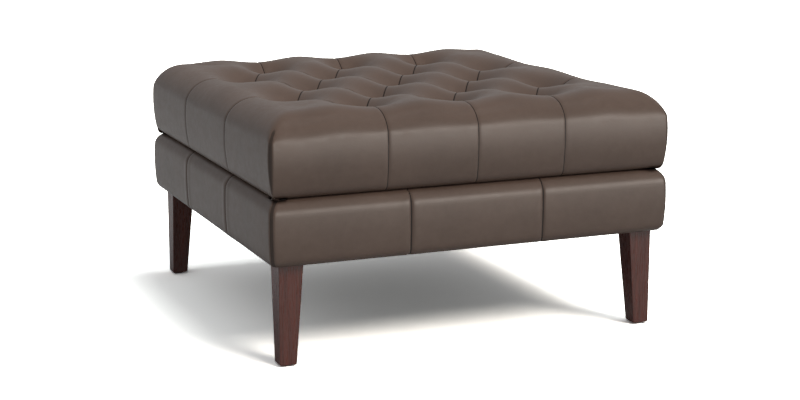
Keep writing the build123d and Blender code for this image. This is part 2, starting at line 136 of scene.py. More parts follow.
def mix_colours(tree, share, *ends):
    """A colour between two ends, each of them a value or a socket.

    The node's ends for colours are its sockets 6 and 7.
    """
    first, second = [end if isinstance(end, bpy.types.NodeSocket) else (*end, 1) for end in ends]
    made = add_node(tree, "ShaderNodeMix", {"data_type": "RGBA"}, _0=share, _6=first, _7=second)
    return made.outputs[2]


def new_material(name, base, roughness):
    """A material with a Principled BSDF, whose colour and roughness are set on its own sockets."""
    material = bpy.data.materials.new(name)
    material.use_nodes = True
    surface = material.node_tree.nodes["Principled BSDF"]
    surface.inputs["Base Color"].default_value = (*base, 1)
    surface.inputs["Roughness"].default_value = roughness
    return material, material.node_tree, surface


def new_piece(name, vertices, faces, material, smooth=True):
    """A mesh object at the origin, with its place in its vertices and its faces turned outwards."""
    mesh = bpy.data.meshes.new(name)
    mesh.from_pydata([tuple(v) for v in vertices], [], [tuple(f) for f in faces])
    shape = bmesh.new()
    shape.from_mesh(mesh)
    bmesh.ops.recalc_face_normals(shape, faces=shape.faces)
    shape.to_mesh(mesh)
    shape.free()
    mesh.polygons.foreach_set("use_smooth", [smooth] * len(mesh.polygons))
    mesh.materials.append(material)
    piece = bpy.data.objects.new(name, mesh)
    bpy.context.scene.collection.objects.link(piece)
    return piece


def pale_to_the_eye(tree, gloss_share):
    """A mask for rays from the camera, through glass and, by a share, from gloss.

    It comes with a second mask, for rays from the camera alone.
    """
    path = add_node(tree, "ShaderNodeLightPath").outputs
    gloss = calculate(tree, "MULTIPLY", path["Is Glossy Ray"], gloss_share)
    seen = calculate(tree, "MAXIMUM", path["Is Camera Ray"], gloss)
    return calculate(tree, "MAXIMUM", seen, path["Is Transmission Ray"]), path["Is Camera Ray"]


floor_material, floor_tree, floor_surface = new_material("pale_floor", floor_white, floor_roughness)
floor_surface.inputs["Specular IOR Level"].default_value = 0
floor_seen, floor_to_camera = pale_to_the_eye(floor_tree, floor_gloss_share)
floor_colour = mix_colours(floor_tree, floor_seen, floor_grey, floor_white)
floor_tree.links.new(floor_colour, floor_surface.inputs["Base Color"])
floor_extra = mix_colours(floor_tree, floor_to_camera, (0, 0, 0), floor_gain)
floor_second = add_node(floor_tree, "ShaderNodeBsdfDiffuse", Color=floor_extra)
floor_sum = add_node(
    floor_tree, "ShaderNodeAddShader", _0=floor_surface.outputs[0], _1=floor_second.outputs[0]
)
floor_tree.links.new(floor_sum.outputs[0], floor_tree.nodes["Material Output"].inputs["Surface"])
floor_turns = [2 * math.pi * side / floor_sides for side in range(floor_sides)]
floor_rim = [(floor_radius * math.cos(turn), floor_radius * math.sin(turn), 0) for turn in floor_turns]
floor = new_piece("floor", floor_rim, [range(floor_sides)], floor_material, smooth=False)

world = bpy.data.worlds.new("room")
bpy.context.scene.world = world
world.use_nodes = True
room_tree = world.node_tree
room_tree.nodes.clear()
room_direction = add_node(room_tree, "ShaderNodeTexCoord")
room_height = add_node(room_tree, "ShaderNodeSeparateXYZ", _0=room_direction.outputs["Generated"])
room_fade = ranged(room_tree, room_height.outputs["Z"], ceiling_fade, interpolation_type="SMOOTHSTEP")
room_colour = mix_colours(room_tree, room_fade, horizon_white, ceiling_grey)
room_light = add_node(room_tree, "ShaderNodeBackground", Color=room_colour, Strength=room_strength)
room_pale = add_node(room_tree, "ShaderNodeBackground", Color=(*room_white, 1), Strength=1.0)
room_seen = pale_to_the_eye(room_tree, room_gloss_share)[0]
room_mix = add_node(
    room_tree, "ShaderNodeMixShader", _0=room_seen, _1=room_light.outputs[0], _2=room_pale.outputs[0]
)
add_node(room_tree, "ShaderNodeOutputWorld", Surface=room_mix.outputs[0])


def new_lamp(name, kind, place, aim, power, colour):
    """A lamp that faces a point."""
    data = bpy.data.lights.new(name, kind)
    data.energy = power
    data.color = colour
    lamp = bpy.data.objects.new(name, data)
    bpy.context.scene.collection.objects.link(lamp)
    lamp.location = place
    lamp.rotation_euler = (Vector(aim) - Vector(place)).to_track_quat("-Z", "Y").to_euler()
    return lamp


low_place = Vector(low_direction).normalized() * low_distance
low_light = new_lamp("low_light", "AREA", low_place, low_aim, low_power, low_colour)
low_light.data.shape = "RECTANGLE"
low_light.data.size, low_light.data.size_y = low_size
low_light.visible_diffuse = False


def far_light(name, direction, angle, strength, colour):
    """A soft light so far away that it is even over the floor. It adds no gloss of its own."""
    lamp = new_lamp(name, "SUN", direction, (0, 0, 0), strength, colour)
    lamp.data.angle = angle
    lamp.visible_glossy = False


far_light("over_light", over_direction, over_angle, over_strength, over_colour)
far_light("key_light", key_direction, key_angle, key_strength, key_colour)
far_light("fill_light", fill_direction, fill_angle, fill_strength, fill_colour)


# Legs
# Tapered hardwood, sawn with the grain upright, stained dark red-brown and finished with a satin lacquer.
# The stain settles in the open pores, so the grain shows as fine dark streaks.
leg_light_brown = (0.158, 0.038, 0.024)
leg_dark_brown = (0.082, 0.0205, 0.0130)
leg_grain_scale = 150.0
leg_grain_stretch = 0.045
leg_roughness = 0.25
noise_range = (0.3, 0.7)
pore_fineness = 5.0
pore_range = (0.42, 0.62)
pore_darkness = 0.45
pore_dullness = 0.14
pore_relief = 0.12
pore_depth = 0.0004
corner_names = ("front_left", "front_right", "back_left", "back_right")


def value_group(name, inputs, outputs):
    """A shader node group with inputs (name: default, or None for a vector) and float outputs.

    It comes with the sockets of the nodes at its two ends.
    """
    group = bpy.data.node_groups.new(name, "ShaderNodeTree")
    for socket, default in inputs.items():
        kind = "NodeSocketVector" if default is None else "NodeSocketFloat"
        made = group.interface.new_socket(socket, in_out="INPUT", socket_type=kind)
        if default is not None:
            made.default_value = default
    for socket in outputs:
        group.interface.new_socket(socket, in_out="OUTPUT", socket_type="NodeSocketFloat")
    return group, group.nodes.new("NodeGroupInput").outputs, group.nodes.new("NodeGroupOutput").inputs


def noise(tree, place, scale, detail, roughness=0.5, distortion=0.0):
    """Soft noise, most of it in the noise range."""
    made = add_node(
        tree, "ShaderNodeTexNoise",
        Vector=place, Scale=scale, Detail=detail, Roughness=roughness, Distortion=distortion,
    )
    return made.outputs["Fac"]


def add_relief(tree, surface, height, strength, depth, invert=False):
    """Fine relief that is too small for the mesh."""
    bump = add_node(
        tree, "ShaderNodeBump", {"invert": invert}, Strength=strength, Distance=depth, Height=height
    )
    tree.links.new(bump.outputs[0], surface.inputs["Normal"])


# The grain of sawn wood: broad bands with fine pores along them, both long in the group's Z direction
wood_grain, grain_in, grain_out = value_group(
    "wood_grain",
    {"Vector": None, "Scale": leg_grain_scale, "Stretch": leg_grain_stretch},
    ["Bands", "Pores"],
)
grain_long = add_node(wood_grain, "ShaderNodeCombineXYZ", X=1.0, Y=1.0, Z=grain_in["Stretch"])
grain_place = add_node(
    wood_grain, "ShaderNodeVectorMath", {"operation": "MULTIPLY"},
    _0=grain_in["Vector"], _1=grain_long.outputs[0],
).outputs[0]
grain_bands = noise(wood_grain, grain_place, grain_in["Scale"], detail=3.0, roughness=0.55, distortion=0.6)
grain_fine_scale = calculate(wood_grain, "MULTIPLY", grain_in["Scale"], pore_fineness)
grain_pores = noise(wood_grain, grain_place, grain_fine_scale, detail=2.0, roughness=0.6)
wood_grain.links.new(grain_bands, grain_out["Bands"])
wood_grain.links.new(ranged(wood_grain, grain_pores, pore_range), grain_out["Pores"])


def wood_material(name, light, dark, scale, stretch, roughness, turn=(0, 0, 0)):
    """Sawn wood between two colours. The turn brings the grain's long direction to the piece's."""
    material, tree, surface = new_material(name, light, roughness)
    place = add_node(tree, "ShaderNodeTexCoord")
    turned = add_node(tree, "ShaderNodeMapping", Vector=place.outputs["Object"], Rotation=turn)
    grain = add_node(
        tree, "ShaderNodeGroup", {"node_tree": wood_grain},
        Vector=turned.outputs[0], Scale=scale, Stretch=stretch,
    )
    bands, pores = grain.outputs["Bands"], grain.outputs["Pores"]
    pore_share = calculate(tree, "MULTIPLY", pores, pore_darkness)
    darkness = calculate(tree, "ADD", ranged(tree, bands, noise_range), pore_share, clamp=True)
    tree.links.new(mix_colours(tree, darkness, light, dark), surface.inputs["Base Color"])
    shine = ranged(tree, pores, (0.0, 1.0), (roughness, roughness + pore_dullness))
    tree.links.new(shine, surface.inputs["Roughness"])
    add_relief(tree, surface, pores, pore_relief, pore_depth, invert=True)
    return material


def dress(name, material):
    """Gives a CAD node its material."""
    slots = nodes[name].data.materials
    slots.clear()
    slots.append(material)


leg_wood = wood_material(
    "stained_leg_wood", leg_light_brown, leg_dark_brown, leg_grain_scale, leg_grain_stretch, leg_roughness
)
for corner in corner_names:
    dress(f"leg_{corner}", leg_wood)


# Glides
# A dark nylon disc with a steel nail through it, driven into the foot of each leg.
# It lets the leg slide on the floor, and its moulded surface is faintly speckled.
nylon_brown = (0.035, 0.03, 0.028)
nylon_roughness = 0.45
nylon_speckle_scale = 900.0
speckle_broad_share = 0.06
speckle_tone = 0.12
speckle_shine = 0.06
speckle_dullness = 0.08
speckle_relief = 0.08
speckle_depth = 0.0003

# Small irregular variation of a moulded, rolled or cast surface
speckle, speckle_in, speckle_out = value_group(
    "surface_speckle", {"Vector": None, "Scale": nylon_speckle_scale}, ["Fine", "Broad"]
)
speckle_fine = noise(speckle, speckle_in["Vector"], speckle_in["Scale"], detail=4.0)
speckle_broad_scale = calculate(speckle, "MULTIPLY", speckle_in["Scale"], speckle_broad_share)
speckle_broad = noise(speckle, speckle_in["Vector"], speckle_broad_scale, detail=3.0)
speckle.links.new(speckle_fine, speckle_out["Fine"])
speckle.links.new(speckle_broad, speckle_out["Broad"])


def scale_colour(tree, surface, base, factor):
    """Makes a surface's colour darker or lighter by a factor."""
    colour = add_node(tree, "ShaderNodeVectorMath", {"operation": "SCALE"}, _0=base, Scale=factor)
    tree.links.new(colour.outputs[0], surface.inputs["Base Color"])
    return colour.outputs[0]


def speckled_material(name, base, roughness, scale, metal=0.0, tone=speckle_tone, relief=speckle_relief):
    """A moulded or metal surface with a little variation in tone, shine and height."""
    material, tree, surface = new_material(name, base, roughness)
    surface.inputs["Metallic"].default_value = metal
    place = add_node(tree, "ShaderNodeTexCoord")
    spots = add_node(
        tree, "ShaderNodeGroup", {"node_tree": speckle}, Vector=place.outputs["Object"], Scale=scale
    )
    fine, broad = spots.outputs["Fine"], spots.outputs["Broad"]
    scale_colour(tree, surface, base, ranged(tree, broad, noise_range, (1 - tone, 1 + tone)))
    shine = ranged(tree, broad, noise_range, (roughness - speckle_shine, roughness + speckle_dullness))
    tree.links.new(shine, surface.inputs["Roughness"])
    add_relief(tree, surface, fine, relief, speckle_depth)
    return material


nylon = speckled_material("glide_nylon", nylon_brown, nylon_roughness, nylon_speckle_scale)
for corner in corner_names:
    dress(f"glide_{corner}", nylon)


# Bolts and inserts
# Zinc-plated hanger bolts, screwed into the legs, and the threaded inserts in the corner posts for them.
# The same plated steel serves for the staples, brackets, screws and washers further on.
zinc_grey = (0.55, 0.56, 0.58)
zinc_roughness = 0.34
zinc_speckle_scale = 700.0
zinc_tone = 0.08

zinc = speckled_material(
    "zinc_plated_steel", zinc_grey, zinc_roughness, zinc_speckle_scale, metal=1.0, tone=zinc_tone
)
for name in ("hanger_bolts", "threaded_inserts"):
    dress(name, zinc)


# Base box
# Planed hardwood posts, rails and stretchers, joined with dowels and left unfinished inside the cover.
# The grain runs along each piece, so the wood is turned for each direction.
box_light_wood = (0.56, 0.39, 0.235)
box_dark_wood = (0.40, 0.255, 0.14)
box_grain_scale = 60.0
box_grain_stretch = 0.04
box_roughness = 0.6
quarter_turn = math.pi / 2
box_woods = {
    "upright": ((0, 0, 0), [f"corner_post_{corner}" for corner in corner_names]),
    "across": ((0, quarter_turn, 0), ["rail_front", "rail_back", "frame_dowels"]),
    "deep": ((quarter_turn, 0, 0), ["rail_left", "rail_right", "stretcher_left", "stretcher_right"]),
}

for direction, (grain_turn, box_pieces) in box_woods.items():
    box_wood = wood_material(
        f"box_wood_{direction}", box_light_wood, box_dark_wood, box_grain_scale, box_grain_stretch,
        box_roughness, turn=grain_turn,
    )
    for name in box_pieces:
        dress(name, box_wood)


# Base cover
# Four padded sides of the same leather as the cushion, pulled over foam pads and stapled under the rails.
# Each side is three panels sewn together at two upright seams, and the sides are sewn at the corners.
leather_brown = (0.124, 0.080, 0.060)
# Painted shade: the colour the leather takes along its seams and over its corner welts, where shade falls in
# the grooves
painted_seam_shade_brown = (0.010, 0.006, 0.0045)
leather_roughness = 0.38
leather_gloss = 0.38
leather_roughness_change = (-0.04, 0.05)
leather_tone_range = (0.5, 1.05)
leather_tone = (0.88, 1.12)
leather_relief = 0.16
leather_depth = 0.0005
leather_grain_scale = 620.0
leather_cell_share = 0.6
leather_drift_scale = 7.0
leather_mottle_scale = 85.0
leather_mottle_share = 0.55
seam_roughness = 0.75
# Seam attribute values over which the leather turns from its own colour to the painted seam shade
painted_seam_shade_range = (0.4, 0.8)
base_proud = 0.002
base_draw = 0.0055
base_widest_share = 0.62
base_corner_radius = 0.009
base_top_radius = 0.026
base_bottom_radius = 0.013
base_seam_place = 0.127
base_seam_depth = 0.0018
base_seam_width = 0.0022
# How wide the painted shade along a base seam is, as a share of the seam's width
base_seam_shade_share = 0.8
base_swell_height = 0.0007
base_swell_width = 0.02
corner_band_half = 0.0032
corner_band_fade = 0.0012
# How dark the painted shade over a corner welt is
corner_welt_shade = 0.66
corner_band_depth = 0.0009
cover_thickness = 0.002
box_padding = 0.025
top_lap = 0.016
bottom_lap = 0.031
side_steps = 150
round_steps = 9
wall_steps = 14
# Where lines lie close together: beside a seam in widths of it, and beside a corner in shares of half a side
near_seam_steps = (0, 0.35, 0.8, 1.6)
near_corner_steps = (0.0015, 0.004, 0.007, 0.0095, 0.012, 0.015)
least_line_gap = 0.004
line_digits = 6
eighth_turn = math.pi / 4

# Smooth, lightly corrected grain: shallow cells with fine pores, and a slow drift in tone from hide to hide
leather_grain, hide_in, hide_out = value_group(
    "leather_grain", {"Vector": None, "Scale": leather_grain_scale}, ["Height", "Tone", "Shine"]
)
hide_place = hide_in["Vector"]
hide_cells = add_node(
    leather_grain, "ShaderNodeTexVoronoi", {"feature": "SMOOTH_F1"},
    Vector=hide_place, Scale=hide_in["Scale"], Smoothness=0.6,
)
hide_pores = noise(leather_grain, hide_place, hide_in["Scale"], detail=5.0, roughness=0.6)
hide_relief = calculate(
    leather_grain, "MULTIPLY_ADD", hide_cells.outputs["Distance"], leather_cell_share, hide_pores
)
hide_drift = noise(leather_grain, hide_place, leather_drift_scale, detail=4.0, roughness=0.6)
hide_mottle = noise(leather_grain, hide_place, leather_mottle_scale, detail=4.0, roughness=0.65)
hide_tone = calculate(leather_grain, "MULTIPLY_ADD", hide_mottle, leather_mottle_share, hide_drift)
leather_grain.links.new(hide_relief, hide_out["Height"])
leather_grain.links.new(hide_tone, hide_out["Tone"])
leather_grain.links.new(hide_mottle, hide_out["Shine"])

leather, leather_tree, leather_surface = new_material("taupe_leather", leather_brown, leather_roughness)
leather_surface.inputs["Specular IOR Level"].default_value = leather_gloss
leather_place = add_node(leather_tree, "ShaderNodeTexCoord")
leather_skin = add_node(
    leather_tree, "ShaderNodeGroup", {"node_tree": leather_grain},
    Vector=leather_place.outputs["Object"], Scale=leather_grain_scale,
).outputs
leather_shade = ranged(leather_tree, leather_skin["Tone"], leather_tone_range, leather_tone)
leather_colour = scale_colour(leather_tree, leather_surface, leather_brown, leather_shade)
# The seam attribute carries painted shade: near a seam the leather is darkened towards the painted shade
# colour and made duller
painted_seam_shade_attribute = add_node(leather_tree, "ShaderNodeAttribute", {"attribute_name": "seam"})
seam_shade_mask = ranged(leather_tree, painted_seam_shade_attribute.outputs["Fac"], painted_seam_shade_range)
leather_final = mix_colours(leather_tree, seam_shade_mask, leather_colour, painted_seam_shade_brown)
leather_tree.links.new(leather_final, leather_surface.inputs["Base Color"])
leather_rough_range = [leather_roughness + change for change in leather_roughness_change]
leather_rough = ranged(leather_tree, leather_skin["Shine"], noise_range, leather_rough_range)
leather_dull = add_node(leather_tree, "ShaderNodeMix", _0=seam_shade_mask, _2=leather_rough, _3=seam_roughness)
leather_tree.links.new(leather_dull.outputs[0], leather_surface.inputs["Roughness"])
add_relief(leather_tree, leather_surface, leather_skin["Height"], leather_relief, leather_depth)


def set_seam_shade(piece, values):
    """Keeps how near each point is to a seam, from 0 to 1, for the painted shade that darkens the leather
    along its seams.
    """
    attribute = piece.data.attributes.new("seam", "FLOAT", "POINT")
    attribute.data.foreach_set("value", np.asarray(values, np.float32))


base_low, base_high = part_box("base_cover_right")
base_half = base_high.x + base_proud
base_floor, base_roof = base_low.z, base_high.z
box_half = base_high.x - box_padding


def lean_in(slope, radius, from_wall):
    """How far a rounding stays back so that it runs smoothly into a wall that leans by the slope there."""
    return slope * radius * math.sin(from_wall) * math.cos(from_wall) ** 2


def base_profile():
    """The section of a side: (half width, height) outside, then back along the rail inside."""
    low, high = base_floor + base_bottom_radius, base_roof - base_top_radius
    low_half = base_half - base_draw * base_widest_share**2
    high_half = base_half - base_draw * (1 - base_widest_share) ** 2
    low_slope = 2 * base_draw * base_widest_share / (high - low)
    high_slope = 2 * base_draw * (1 - base_widest_share) / (high - low)
    outside = [(box_half - bottom_lap, base_floor)]
    for turn in np.linspace(0, quarter_turn, round_steps):
        outside.append((
            low_half - base_bottom_radius * (1 - math.sin(turn))
            - lean_in(low_slope, base_bottom_radius, quarter_turn - turn),
            base_floor + base_bottom_radius * (1 - math.cos(turn)),
        ))
    for share in np.linspace(0, 1, wall_steps)[1:-1]:
        draw = base_draw * (share - base_widest_share) ** 2
        outside.append((base_half - draw, low + share * (high - low)))
    for turn in np.linspace(0, quarter_turn, round_steps):
        outside.append((
            high_half - base_top_radius * (1 - math.cos(turn)) - lean_in(high_slope, base_top_radius, turn),
            high + base_top_radius * math.sin(turn),
        ))
    outside.append((box_half - top_lap, base_roof))
    inside = [
        (box_half - top_lap, base_roof - cover_thickness),
        (box_half, base_roof - cover_thickness),
        (box_half, base_floor + cover_thickness),
        (box_half - bottom_lap, base_floor + cover_thickness),
    ]
    return outside, inside


def along_the_side():
    """Places along a side as shares of its half length, closer together at the seams and the corners."""
    even = np.linspace(-1, 1, side_steps + 1)
    seams = [
        (sign * base_seam_place + way * step * base_seam_width) / base_half
        for sign in (-1, 1) for step in near_seam_steps for way in (-1, 1)
    ]
    corners = [sign * (1 - step) for sign in (-1, 1) for step in near_corner_steps]
    clear = [place for place in even if all(abs(place - seam) > least_line_gap for seam in seams)]
    return np.array(sorted(set(np.round(clear + seams + corners, line_digits))))


def smooth_share(value):
    """A share from 0 to 1 that starts and ends smoothly."""
    value = np.clip(value, 0, 1)
    return value * value * (3 - 2 * value)


def corner_band(from_corner):
    """The welt over an upright corner seam: 1 on the corner and 0 beyond its edges."""
    return smooth_share((corner_band_half - from_corner) / corner_band_fade + 1)


def rounded_side(share, half, radius):
    """A point of a rounded square's side between its two diagonals, and the outward direction there."""
    place = share * half
    straight = half - radius
    if abs(place) <= straight or radius == 0:
        return np.array([half, place]), np.array([1.0, 0.0])
    turn = eighth_turn * (abs(place) - straight) / radius
    along = math.copysign(straight + radius * math.sin(turn), place)
    outward = np.array([math.cos(turn), math.copysign(math.sin(turn), place)])
    return np.array([straight + radius * math.cos(turn), along]), outward


side_turns = {"right": 0, "back": 1, "left": 2, "front": 3}
side_shares = along_the_side()
outside_profile, inside_profile = base_profile()
for side, quarter in side_turns.items():
    turn = quarter * quarter_turn
    turned = np.array([[math.cos(turn), -math.sin(turn)], [math.sin(turn), math.cos(turn)]])
    points, seam_shades = [], []
    for share in side_shares:
        for number, (half, height) in enumerate(outside_profile + inside_profile):
            is_outside = number < len(outside_profile)
            on_flange = not is_outside or number in (0, len(outside_profile) - 1)
            radius = 0 if on_flange else min(base_corner_radius, half - box_half + cover_thickness)
            plan, outward = rounded_side(share, half, max(radius, 0))
            from_seam = abs(abs(plan[1]) - base_seam_place)
            from_corner = (1 - abs(share)) * base_half * eighth_turn
            # Painted shade along the seams and over the corner welt, kept for the leather's colour
            near_seam_shade = math.exp(-((from_seam / (base_seam_shade_share * base_seam_width)) ** 2))
            band = corner_band(from_corner)
            if not on_flange:
                dip = base_seam_depth * math.exp(-((from_seam / base_seam_width) ** 2))
                swell = base_swell_height * math.sin(math.pi * min(from_seam / base_swell_width, 1))
                plan = plan - outward * (dip - swell + corner_band_depth * band)
            points.append((*(turned @ plan), height))
            seam_shades.append(max(near_seam_shade, corner_welt_shade * band) if is_outside else 0)
    ring = len(outside_profile) + len(inside_profile)
    last = (len(side_shares) - 1) * ring
    faces = [
        (here + k, here + (k + 1) % ring, here + ring + (k + 1) % ring, here + ring + k)
        for here in range(0, last, ring)
        for k in range(ring)
    ]
    faces += [range(ring), range(last, last + ring)]
    base_side = new_piece(f"base_side_{side}", points, faces, leather)
    set_seam_shade(base_side, seam_shades)
    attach(base_side, "root")
    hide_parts(f"base_cover_{side}", f"base_pad_{side}")


# Dust cover
# Thin black nonwoven cloth, stretched under the base, cut out round the legs and stapled to the rails.
# It sags a little between the rails.
cloth_black = (0.012, 0.012, 0.013)
cloth_roughness = 0.92
cloth_weave_scale = 900.0
cloth_tone = (0.6, 1.5)
cloth_relief = 0.3
cloth_relief_depth = 0.0004
cloth_sag = 0.004
cloth_top_inset = 0.0002
cloth_leg_gap = 0.001
cloth_steps = 48
rail_thickness = 0.02

cloth, cloth_tree, cloth_surface = new_material("black_cloth", cloth_black, cloth_roughness)
cloth_place = add_node(cloth_tree, "ShaderNodeTexCoord")
cloth_threads = []
for axis in ("X", "Y"):
    threads = add_node(
        cloth_tree, "ShaderNodeTexWave", {"bands_direction": axis},
        Vector=cloth_place.outputs["Object"], Scale=cloth_weave_scale, Distortion=0.6,
    )
    cloth_threads.append(threads.outputs["Fac"])
cloth_weave = calculate(cloth_tree, "MAXIMUM", *cloth_threads)
scale_colour(cloth_tree, cloth_surface, cloth_black, ranged(cloth_tree, cloth_weave, (0.0, 1.0), cloth_tone))
add_relief(cloth_tree, cloth_surface, cloth_weave, cloth_relief, cloth_relief_depth)


def sag_share(place):
    """1 under the middle of the base, and 0 from the inner face of the rails."""
    return max(0, 1 - (place / (box_half - rail_thickness)) ** 2)


cloth_low, cloth_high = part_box("dust_cover")
cloth_half = cloth_high.x
notch_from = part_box("leg_front_right")[0].x - cloth_leg_gap
inner_lines = np.linspace(-notch_from, notch_from, cloth_steps + 1)
cloth_lines = np.concatenate([[-cloth_half], inner_lines, [cloth_half]])
cloth_points, cloth_faces = [], []
line_count = len(cloth_lines)
layer_size = line_count**2
for height in (cloth_low.z, cloth_high.z - cloth_top_inset):
    for x in cloth_lines:
        for y in cloth_lines:
            cloth_points.append((x, y, height - cloth_sag * (sag_share(x) * sag_share(y))))
for layer in range(2):
    for i in range(line_count - 1):
        for j in range(line_count - 1):
            if i in (0, line_count - 2) and j in (0, line_count - 2):
                continue
            first = layer * layer_size + i * line_count + j
            cloth_faces.append((first, first + line_count, first + line_count + 1, first + 1))

# The two layers are joined along every edge that only one face of the lower layer has
edge_uses = {}
for face in [face for face in cloth_faces if max(face) < layer_size]:
    for a, b in zip(face, face[1:] + face[:1]):
        edge_uses.setdefault(frozenset((a, b)), []).append((a, b))
for (a, b), *others in edge_uses.values():
    if not others:
        cloth_faces.append((a, b, b + layer_size, a + layer_size))
used = sorted({v for face in cloth_faces for v in face})
renumber = {old: new for new, old in enumerate(used)}
sheet_faces = [[renumber[v] for v in face] for face in cloth_faces]
dust_sheet = new_piece("dust_sheet", [cloth_points[v] for v in used], sheet_faces, cloth)
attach(dust_sheet, "root")
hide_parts("dust_cover")
dress("dust_cover_staples", zinc)


# Cushion board and its fixings
# Birch plywood under the foam, held to the rails by zinc-plated brackets and screws. The tufting twine
# passes through its holes and is knotted over washers below.
plywood_light = (0.62, 0.47, 0.30)
plywood_dark = (0.50, 0.35, 0.20)
plywood_grain_scale = 26.0
plywood_grain_stretch = 0.05
plywood_roughness = 0.62
twine_cream = (0.62, 0.54, 0.40)
twine_roughness = 0.7
twine_strand_scale = 1400.0
twine_tone = 0.2
twine_relief = 0.3

plywood = wood_material(
    "birch_plywood", plywood_light, plywood_dark, plywood_grain_scale, plywood_grain_stretch,
    plywood_roughness, turn=(0, quarter_turn, 0),
)
dress("cushion_board", plywood)
for name in ("angle_brackets", "bracket_screws", "tuft_washers"):
    dress(name, zinc)
twine = speckled_material(
    "waxed_twine", twine_cream, twine_roughness, twine_strand_scale, tone=twine_tone, relief=twine_relief
)
dress("tufting_twine", twine)


# Cushion
# Leather over wadding and a foam core, pulled down by 17 hidden tufts. The leather is folded from tuft to
# tuft, so diamond pillows stand between the folds, and the folds run on as sewn seams down the sides.
tuft_column_pitch = 0.0845
tuft_row_pitch = 0.1283
last_column = 3
last_row = 2
tuft_depth = 0.043
fold_depth = 0.0114
pillow_sink = 0.0068
# The fall from a pillow's middle to a fold, which is mostly soft and a little sharper close to the fold
valley_power = 2.14
valley_sharp_share = 0.073
valley_sharp_power = 3.2
crease_depth = 0.0012
crease_width = 0.002
# The rounded rim, and how much lower it lies towards the front and back and towards the sides
edge_run = 0.058
edge_rise = 0.048
front_edge_fall = 0.0047
side_edge_fall = 0.0102
corner_lift = 0.0061
corner_power = 2.5
corner_hold = 0.2
corner_seam_start = 0.5
corner_seam_fade = 0.12
front_channel_depth = 0.0081
side_channel_depth = 0.0037
channel_power = 1.7
cushion_draw = 0.0117
cushion_widest_share = 0.35
cushion_corner_radius = 0.005
cushion_bottom_radius = 0.014
side_seam_depth = 0.0014
# How wide the painted shade along a fold or seam of the cushion is
seam_shade_width = 0.0014
seam_gather = 0.66
seam_gather_width = 0.009
flange_width = 0.034
steps_per_pitch = 24
strip_steps = 16
edge_steps = 24
cushion_wall_steps = 22
bottom_steps = 8
# Guards against rounding: for places on a fold, for points that face a side, and for a length that divides
fold_digits = 9
least_side_turn = 0.999
least_length = 1e-9

cushion_low, cushion_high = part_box("cushion_cover")
cushion_half = cushion_high.x
cushion_top, cushion_bottom = cushion_high.z, cushion_low.z
crest = cushion_half - edge_run
wall_height = cushion_top - edge_rise - cushion_bottom - cushion_bottom_radius
wall_top_slope = 2 * cushion_draw * cushion_widest_share / wall_height
wall_low_slope = 2 * cushion_draw * (1 - cushion_widest_share) / wall_height


def half_lines(pitch, last):
    """Distances from the middle and turns round the edge, for the lines on one side of the middle."""
    between = np.arange(last * steps_per_pitch + 1) * pitch / steps_per_pitch
    outwards = np.linspace(between[-1], crest, strip_steps + 1)[1:]
    turns = np.linspace(0, quarter_turn, edge_steps + 1)[1:]
    held_back = wall_top_slope * edge_rise * np.cos(turns) * np.sin(turns) ** 2
    places = np.concatenate([between, outwards, crest + edge_run * np.sin(turns) - held_back])
    return places, np.concatenate([np.zeros(len(between) + strip_steps), turns])


def full_lines(pitch, last):
    """The same lines on both sides of the middle."""
    places, turns = half_lines(pitch, last)
    return np.concatenate([-places[:0:-1], places]), np.concatenate([turns[:0:-1], turns])


def outward_share(place, turn, pitch, last):
    """0 at the outermost tufts, 1 where the edge starts to round over, and 2 where the side starts."""
    start = pitch * last
    return np.clip((np.abs(place) - start) / (crest - start), 0, 1) + turn / quarter_turn


x_places, x_turns = full_lines(tuft_column_pitch, last_column)
y_places, y_turns = full_lines(tuft_row_pitch, last_row)
x, y = np.meshgrid(x_places, y_places, indexing="ij")
x_turn, y_turn = np.meshgrid(x_turns, y_turns, indexing="ij")
x_out = outward_share(x, x_turn, tuft_column_pitch, last_column)
y_out = outward_share(y, y_turn, tuft_row_pitch, last_row)
out = np.maximum(x_out, y_out)


def near_fold(number):
    """1 on a fold and 0 in the middle of a pillow, for a column with its row added or taken away."""
    return np.abs(np.mod(number, 2) - 1)


# The two families of folds cross at the tufts
column = np.clip(x / tuft_column_pitch, -last_column, last_column)
row = np.clip(y / tuft_row_pitch, -last_row, last_row)
first_family = near_fold(np.round(column + row, fold_digits))
second_family = near_fold(np.round(column - row, fold_digits))
nearest_fold = np.maximum(first_family, second_family)


def valley(share, power):
    """How far the leather has sunk between the middle of a pillow, 0, and a fold, 1."""
    smooth = np.sin(share * quarter_turn) ** power
    return smooth + (share**valley_sharp_power - smooth) * valley_sharp_share


first_fall, second_fall = valley(first_family, valley_power), valley(second_family, valley_power)
fold_fall = first_fall + second_fall - first_fall * second_fall
tufted = fold_depth * fold_fall + (tuft_depth - fold_depth) * first_fall * second_fall

# Outside the tufts the folds become channels and then narrow seams
channel_depth = np.where(y_out > x_out, front_channel_depth, side_channel_depth)
channel = channel_depth * valley(nearest_fold, channel_power) * (1 - smooth_share(out - 1))
tufted = tufted + (channel - tufted) * smooth_share(out)
fold_pitch = 1 / math.hypot(1 / tuft_column_pitch, 1 / tuft_row_pitch)
side_pitch = np.where(y_out > x_out, tuft_column_pitch, tuft_row_pitch)
from_fold = (1 - nearest_fold) * np.where(out > 0, side_pitch, fold_pitch)

